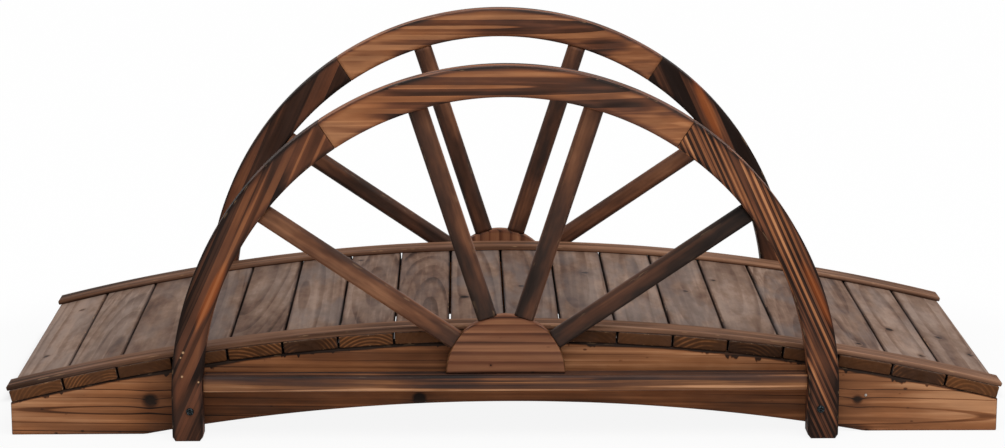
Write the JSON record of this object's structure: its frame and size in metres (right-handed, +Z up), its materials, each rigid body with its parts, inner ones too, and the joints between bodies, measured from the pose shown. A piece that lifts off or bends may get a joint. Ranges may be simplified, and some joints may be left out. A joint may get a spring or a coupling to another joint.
{
  "type": "arched garden footbridge with half-wheel railings",
  "caption": "Low arched wooden garden bridge: planks on two curved beams, edge trims, and a railing on each side shaped as half a spoked wagon wheel.",
  "frame": {"origin": "on the ground, under the middle of the bridge", "axes": "+X along the walk to the right, +Y across the bridge to the far side, +Z up"},
  "size_m": [1.5052, 0.656, 0.5669],
  "materials": {
    "deck_plank": "charred and oiled fir, satin",
    "side_beam": "charred and oiled fir, satin",
    "edge_trim": "charred and oiled fir, satin",
    "wheel_rim": "charred and oiled fir, satin",
    "rail": "charred and oiled fir, satin",
    "hub": "charred and oiled fir, satin",
    "spoke": "charred and oiled fir, satin"
  },
  "bodies": {
    "root": {"plank_01": "deck_plank", "plank_02": "deck_plank", "plank_03": "deck_plank", "plank_04": "deck_plank", "plank_05": "deck_plank", "plank_06": "deck_plank", "plank_07": "deck_plank", "plank_08": "deck_plank", "plank_09": "deck_plank", "plank_10": "deck_plank", "plank_11": "deck_plank", "plank_12": "deck_plank", "plank_13": "deck_plank", "plank_14": "deck_plank", "plank_15": "deck_plank", "plank_16": "deck_plank", "plank_17": "deck_plank", "plank_18": "deck_plank", "front_beam": "side_beam", "front_trim": "edge_trim", "front_rim_crown": "wheel_rim", "front_left_leg": "wheel_rim", "front_right_leg": "wheel_rim", "front_rail": "rail", "front_hub": "hub", "front_spoke_1": "spoke", "front_spoke_2": "spoke", "front_spoke_3": "spoke", "front_spoke_4": "spoke", "back_beam": "side_beam", "back_trim": "edge_trim", "back_rim_crown": "wheel_rim", "back_left_leg": "wheel_rim", "back_right_leg": "wheel_rim", "back_rail": "rail", "back_hub": "hub", "back_spoke_1": "spoke", "back_spoke_2": "spoke", "back_spoke_3": "spoke", "back_spoke_4": "spoke"}
  },
  "joints": []
}
